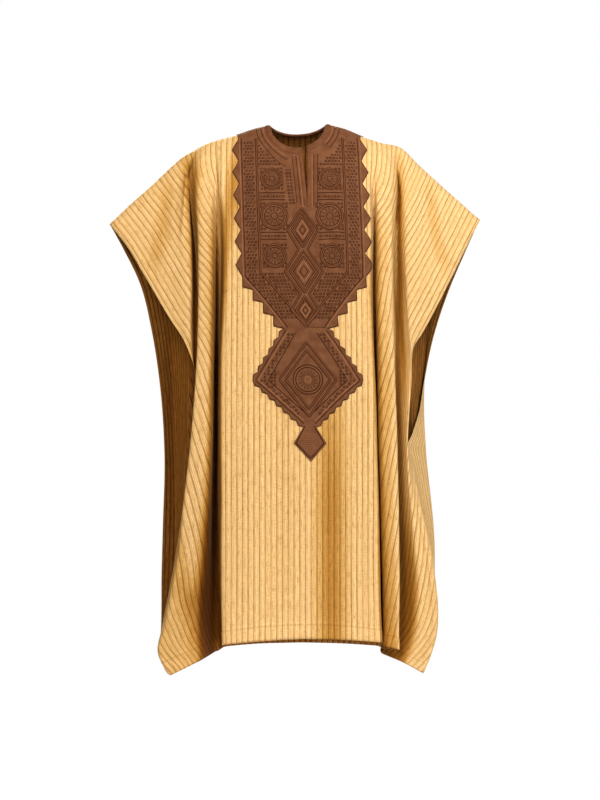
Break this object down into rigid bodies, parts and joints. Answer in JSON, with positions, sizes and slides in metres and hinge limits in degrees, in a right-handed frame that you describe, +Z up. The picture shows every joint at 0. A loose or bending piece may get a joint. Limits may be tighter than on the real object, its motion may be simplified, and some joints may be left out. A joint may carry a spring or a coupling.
{
  "type": "grand boubou robe",
  "caption": "Wide striped cloth robe worn over the shoulders, open at the sleeves, with a brown toothed yoke, a pendant below it and a bound slit neck.",
  "frame": {"origin": "middle of the shoulder line, where a wearer's shoulders hold the robe", "axes": "+X to the viewer's right as the front is seen, -Y to the front, +Z up"},
  "size_m": [0.8744, 0.2952, 1.2944],
  "materials": {
    "front_panel": "striped cream and gold cloth, soft satin sheen",
    "back_panel": "striped cream and gold cloth, soft satin sheen",
    "front_yoke": "brown embroidered applique",
    "back_yoke": "brown embroidered applique",
    "pendant": "brown embroidered applique",
    "neck_binding": "dark brown binding",
    "slit_binding": "dark brown binding"
  },
  "bodies": {
    "root": {"front_panel": "front_panel", "back_panel": "back_panel", "front_yoke": "front_yoke", "back_yoke": "back_yoke", "pendant": "pendant", "neck_binding": "neck_binding", "slit_binding": "slit_binding"}
  },
  "joints": []
}
